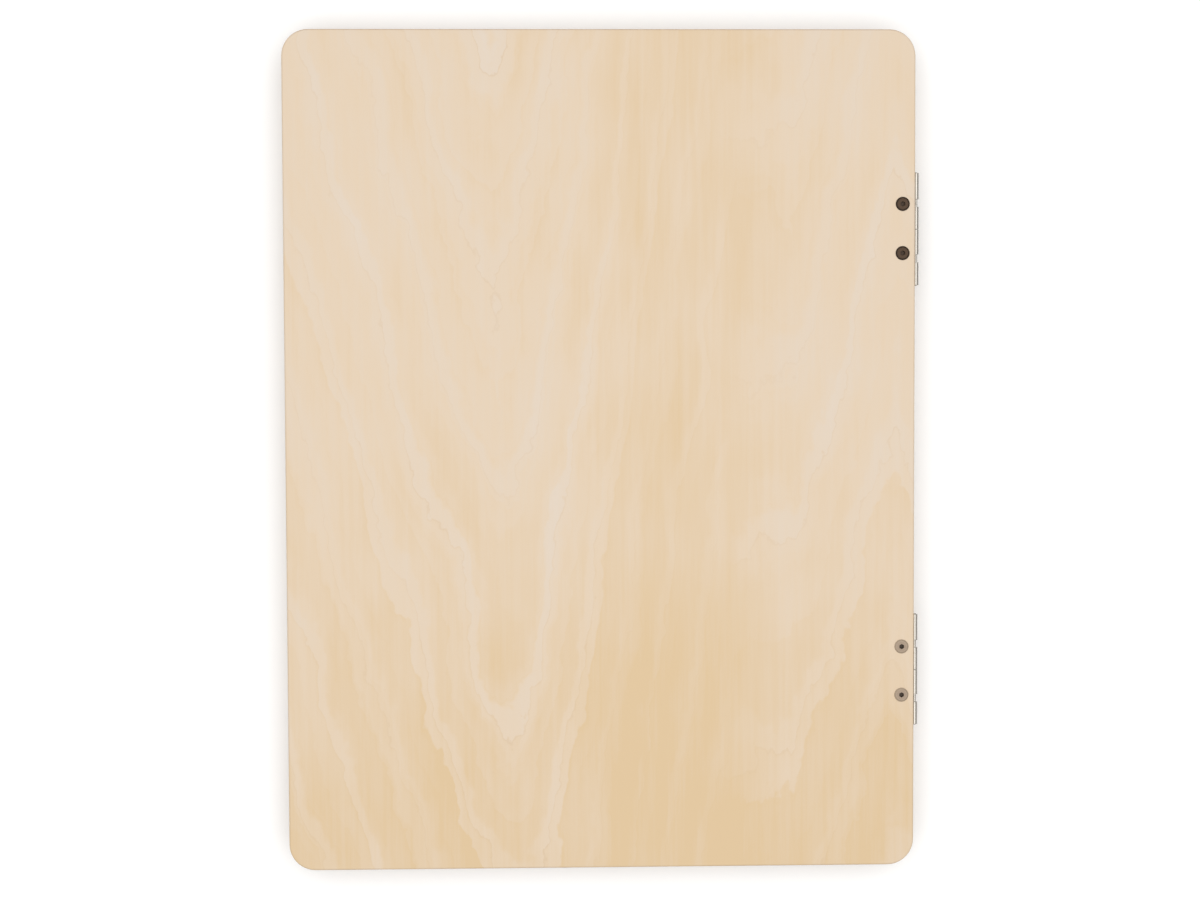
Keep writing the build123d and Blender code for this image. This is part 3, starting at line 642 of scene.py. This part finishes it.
FINISHES = {
    "opal_acrylic": opal_acrylic(),
    "foam_tape": foam("foam_tape", srgb(226, 226, 222), srgb(190, 190, 186)),
    "diffuser_film": film(
        "diffuser_film", srgb(236, 237, 236), srgb(228, 230, 230), roughness=0.5, subsurface=0.2),
    "light_guide": light_guide(),
    "reflector_film": film("reflector_film", srgb(244, 244, 243), srgb(236, 237, 238), roughness=0.22),
    "backing_foam": foam("backing_foam", srgb(74, 75, 78), srgb(44, 45, 47)),
    "led_board": led_board(),
    "led": led_case(),
    "circuit_board": circuit_board(),
    "socket_steel": socket_steel(),
    "black_plastic": moulded("black_plastic", srgb(28, 28, 29), srgb(40, 40, 41), roughness=0.5),
    "inductor_ferrite": moulded("inductor_ferrite", srgb(62, 61, 60), srgb(84, 82, 79), roughness=0.6),
    "capacitor_ceramic": moulded(
        "capacitor_ceramic", srgb(176, 146, 104), srgb(158, 128, 90), roughness=0.35),
    "plug_nylon": moulded("plug_nylon", srgb(228, 224, 208), srgb(214, 208, 188), roughness=0.4),
    "lead_red": moulded("lead_red", srgb(170, 28, 26), srgb(140, 20, 20), roughness=0.5),
    "lead_black": moulded("lead_black", srgb(26, 26, 26), srgb(38, 38, 38), roughness=0.5),
    "button_plastic": moulded("button_plastic", srgb(224, 223, 218), srgb(214, 212, 205), roughness=0.34),
    "nickel": polished_nickel(),
    # The left post heads are a darker copy of the nickel heads: their dark brown is a painted dark
    # reflection.
    "dark_bronze": fastener_head(
        "painted_dark_reflection_head", "lid_posts_left", top=srgb(70, 51, 33), ring=srgb(42, 28, 15),
        wear=srgb(108, 82, 56), roughness=0.42, metallic=0.25, recess=0.35),
    "dull_nickel": fastener_head(
        "nickel_head", "lid_posts_right", top=srgb(152, 134, 116), ring=srgb(160, 142, 122),
        wear=srgb(176, 160, 142), roughness=0.5, metallic=0.3, recess=0.9),
    "screw_steel": zinc_steel(),
    "catch_steel": bright_disc(),
    "foot_rubber": foot_rubber(),
    "bumper_silicone": clear_silicone(),
}


def dress(node):
    """Give a CAD part its finish in every material slot."""
    material = WOODEN.get(node) or FINISHES[SLOT_OF[node]]
    slots = NODES[node].data.materials
    slots.clear()
    slots.append(material)


for node_name in NODES:
    dress(node_name)


# ---- small parts with more shape than the CAD gives them -----------------------------------------

def finished_mesh(shape, bevel):
    """The shape as a mesh, with every edge bevelled by a width in millimetres."""
    bmesh.ops.recalc_face_normals(shape, faces=shape.faces[:])
    bmesh.ops.bevel(
        shape, geom=shape.edges[:], offset=bevel * MM, offset_type="OFFSET", segments=2, profile=0.5,
        affect="EDGES",
    )
    mesh = bpy.data.meshes.new("shape")
    shape.to_mesh(mesh)
    shape.free()
    return mesh


def add_block(shape, low, high):
    """A block from corner to corner, in millimetres. Returns its faces."""
    middle = (Vector(low) + Vector(high)) / 2 * MM
    size = (Vector(high) - Vector(low)) * MM
    place = Matrix.Translation(middle) @ Matrix.Diagonal((*size, 1.0))
    corners = bmesh.ops.create_cube(shape, size=1.0, matrix=place)["verts"]
    return list({face for corner in corners for face in corner.link_faces})


def blocks_mesh(corner_pairs, bevel):
    """One mesh of blocks that stand apart from each other."""
    shape = bmesh.new()
    for low, high in corner_pairs:
        add_block(shape, low, high)
    return finished_mesh(shape, bevel)


def add_prism(shape, outline, start, end):
    """A closed bar along X from start to end, whose section is an outline of (y, z) points."""
    near = [shape.verts.new(Vector((start, y, z)) * MM) for y, z in outline]
    far = [shape.verts.new(Vector((end, y, z)) * MM) for y, z in outline]
    shape.faces.new(near)
    shape.faces.new(far[::-1])
    for i in range(len(outline)):
        shape.faces.new((near[i - 1], near[i], far[i], far[i - 1]))


def add_piece(name, mesh, material, stands_for=()):
    """A piece of the case, in the material of a slot, shown instead of the CAD nodes it stands for."""
    mesh.name = name
    mesh.materials.append(material)
    piece = bpy.data.objects.new(name, mesh)
    bpy.context.scene.collection.objects.link(piece)
    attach(piece, "case")
    if stands_for:
        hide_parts(*stands_for)


def spread(first, last, count):
    """Evenly spaced positions from first to last."""
    return [first + (last - first) * i / (count - 1) for i in range(count)]


def driver_chip():
    """A small-outline chip: a body with sloping sides, and four bent legs along each long side."""
    low, high = box_mm("driver_chip")
    reach, leg_half, leg_t, body_gap, slope = 0.55, 0.2, 0.18, 0.12, 0.12
    knee = (high.z - low.z + leg_t) / 2
    front, back = low.y + reach, high.y - reach
    waist, under, top = low.z + knee - leg_t / 2, low.z + body_gap, high.z
    body_outline = [
        (front + slope, under), (back - slope, under), (back, waist), (back - slope, top),
        (front + slope, top), (front, waist),
    ]
    body = bmesh.new()
    add_prism(body, body_outline, low.x, high.x)
    plastic = FINISHES["black_plastic"]
    add_piece("driver_chip_body", finished_mesh(body, 0.06), plastic, ["driver_chip"])

    inside, end_inset, leg_count = reach + 0.15, 0.6, 4
    bend = [
        (0.0, 0.0), (0.38, 0.0), (0.5, knee - leg_t), (inside, knee - leg_t), (inside, knee),
        (0.36, knee), (0.24, leg_t), (0.0, leg_t),
    ]
    front_outline = [(low.y + inward, low.z + up) for inward, up in bend]
    back_outline = [(high.y - inward, low.z + up) for inward, up in bend]
    legs = bmesh.new()
    for x in spread(low.x + end_inset, high.x - end_inset, leg_count):
        add_prism(legs, front_outline, x - leg_half, x + leg_half)
        add_prism(legs, back_outline, x - leg_half, x + leg_half)
    add_piece("driver_chip_legs", finished_mesh(legs, 0.03), FINISHES["socket_steel"])


def capacitors():
    """Three ceramic capacitors with plated ends."""
    low, high = box_mm("capacitors")
    width, end_l, waist, inset = 1.25, 0.45, 0.04, 0.15
    bodies, ends = [], []
    for y in spread(low.y + width / 2, high.y - width / 2, 3):
        front, back = y - width / 2, y + width / 2
        body_low = (low.x + inset, front + waist, low.z + waist)
        body_high = (high.x - inset, back - waist, high.z - waist)
        bodies.append((body_low, body_high))
        ends.append(((low.x, front, low.z), (low.x + end_l, back, high.z)))
        ends.append(((high.x - end_l, front, low.z), (high.x, back, high.z)))
    ceramic = FINISHES["capacitor_ceramic"]
    add_piece("capacitor_bodies", blocks_mesh(bodies, 0.04), ceramic, ["capacitors"])
    add_piece("capacitor_ends", blocks_mesh(ends, 0.08), FINISHES["socket_steel"])


def socket_tongue():
    """The socket's tongue with a row of contacts on each face."""
    low, high = box_mm("usb_tongue")
    sunk, contact_half, contact_l, side_inset, tip, contact_count = 0.05, 0.13, 4.0, 0.6, 0.5, 12
    core = [((low.x, low.y, low.z + sunk), (high.x, high.y, high.z - sunk))]
    contacts = []
    for y in spread(low.y + side_inset, high.y - side_inset, contact_count):
        for z in (low.z, high.z - 2 * sunk):
            contact_low = (high.x - contact_l, y - contact_half, z)
            contact_high = (high.x - tip, y + contact_half, z + 2 * sunk)
            contacts.append((contact_low, contact_high))
    plastic = FINISHES["black_plastic"]
    add_piece("tongue_core", blocks_mesh(core, 0.12), plastic, ["usb_tongue"])
    add_piece("tongue_contacts", blocks_mesh(contacts, 0.02), gold_contact())


def lead_plugs():
    """The two plugs of the leads: a housing each, with rails and a latch bar along its top."""
    low, high = box_mm("lead_plugs")
    width, rail, bar, groove = 5.4, 0.7, 1.6, 0.8
    half, shelf = width / 2, high.z - groove
    right_half = [
        (half, low.z), (half, high.z), (half - rail, high.z), (half - rail, shelf), (bar / 2, shelf),
        (bar / 2, high.z),
    ]
    left_half = [(-y, z) for y, z in right_half[::-1]]
    housings = bmesh.new()
    for middle in (low.y + half, high.y - half):
        add_prism(housings, [(middle + y, z) for y, z in right_half + left_half], low.x, high.x)
    nylon = FINISHES["plug_nylon"]
    add_piece("plug_housings", finished_mesh(housings, 0.12), nylon, ["lead_plugs"])


def led_strip(end, gel_look):
    """The LEDs of one board: each a white case, with yellow gel in a sloping cup in its face."""
    node = f"leds_{end}"
    low, high = box_mm(node)
    length, rim, cup_depth, gel_t, gel_sunk = 3.0, 0.3, 0.14, 0.07, 0.02
    inward = 1 if low.y < 0 else -1
    cup_floor = (high.y if inward > 0 else low.y) - inward * cup_depth
    cases, gels = bmesh.new(), []
    for x in spread(low.x + length / 2, high.x - length / 2, LED_COUNT):
        left, right = x - length / 2, x + length / 2
        faces = add_block(cases, (left, low.y, low.z), (right, high.y, high.z))
        face = max(faces, key=lambda side: side.calc_center_median().y * inward)
        bmesh.ops.inset_region(cases, faces=[face], thickness=rim * MM, depth=0.0)
        bmesh.ops.translate(cases, verts=face.verts, vec=(0.0, -inward * cup_depth * MM, 0.0))
        y_gel = sorted((cup_floor - inward * gel_sunk, cup_floor + inward * gel_t))
        gels.append(((left + rim, y_gel[0], low.z + rim), (right - rim, y_gel[1], high.z - rim)))
    add_piece(f"led_cases_{end}", finished_mesh(cases, 0.03), FINISHES["led"], [node])
    add_piece(f"led_windows_{end}", blocks_mesh(gels, 0.02), gel_look)


yellow_gel = phosphor()
driver_chip()
capacitors()
socket_tongue()
lead_plugs()
led_strip("front", yellow_gel)
led_strip("rear", yellow_gel)


# ---- stage, light and camera ---------------------------------------------------------------------

FLOOR_SIZE = 12.0
CEILING_PLACE = (-0.1, 0.0, 2.4)
CEILING_SIZE = 3.0
CEILING_WATTS = 43.4

# How bright the surroundings are at the horizon and overhead, and the rise at which overhead begins:
# 0 is level and 1 is straight up.
WORLD_AT_HORIZON = 0.115
WORLD_OVERHEAD = 0.8
OVERHEAD_FROM = 0.55


def pale_floor():
    bpy.ops.mesh.primitive_plane_add(size=FLOOR_SIZE)
    floor = bpy.context.object
    floor.name = "floor"
    g = Graph("floor_paper")
    mottle = g.noise((400, 400, 400), detail=3, seed=1)
    colour = g.mix(g.smooth(mottle, -1.5, 1.5), srgb(244, 244, 243), srgb(247, 247, 247))
    floor.data.materials.append(g.finish(colour, mottle * 0.02 + 0.9, specular=0.1))


def ceiling_light():
    """A broad soft light overhead, aimed at the origin."""
    data = bpy.data.lights.new("ceiling", "AREA")
    data.shape = "RECTANGLE"
    data.size = CEILING_SIZE
    data.size_y = CEILING_SIZE
    data.energy = CEILING_WATTS
    lamp = bpy.data.objects.new("ceiling", data)
    bpy.context.scene.collection.objects.link(lamp)
    lamp.location = CEILING_PLACE
    aim = Vector((0.0, 0.0, 0.0)) - Vector(CEILING_PLACE)
    lamp.rotation_euler = aim.to_track_quat("-Z", "Y").to_euler()


def surroundings():
    """A white room that is bright overhead and greyer towards the horizon."""
    world = bpy.data.worlds.new("studio")
    bpy.context.scene.world = world
    world.use_nodes = True
    nodes = world.node_tree.nodes
    links = world.node_tree.links
    direction = nodes.new("ShaderNodeTexCoord")
    parts = nodes.new("ShaderNodeSeparateXYZ")
    strength = nodes.new("ShaderNodeMapRange")
    strength.interpolation_type = "SMOOTHSTEP"
    strength.inputs["From Min"].default_value = 0.0
    strength.inputs["From Max"].default_value = OVERHEAD_FROM
    strength.inputs["To Min"].default_value = WORLD_AT_HORIZON
    strength.inputs["To Max"].default_value = WORLD_OVERHEAD
    links.new(direction.outputs["Generated"], parts.inputs[0])
    links.new(parts.outputs["Z"], strength.inputs["Value"])
    background = nodes["Background"]
    background.inputs["Color"].default_value = (1.0, 1.0, 1.0, 1.0)
    links.new(strength.outputs["Result"], background.inputs["Strength"])


# The camera looks almost straight down, with the long side upright in the picture and the hinges on
# the right. Its place is in metres, its turn in degrees, and its lens and sensor in millimetres.
CAMERA_PLACE = (-0.0511, -0.0306, 1.1691)
CAMERA_TURN = (-2.4954, -1.5118, 89.7865)
CAMERA_LENS = 60.0
CAMERA_SENSOR = 36.0


def camera():
    data = bpy.data.cameras.new("camera")
    data.lens = CAMERA_LENS
    data.sensor_width = CAMERA_SENSOR
    data.clip_start = 0.01
    eye = bpy.data.objects.new("camera", data)
    bpy.context.scene.collection.objects.link(eye)
    eye.location = CAMERA_PLACE
    eye.rotation_euler = [math.radians(angle) for angle in CAMERA_TURN]
    bpy.context.scene.camera = eye


pale_floor()
surroundings()
ceiling_light()
camera()
bpy.context.scene.view_settings.view_transform = "Standard"
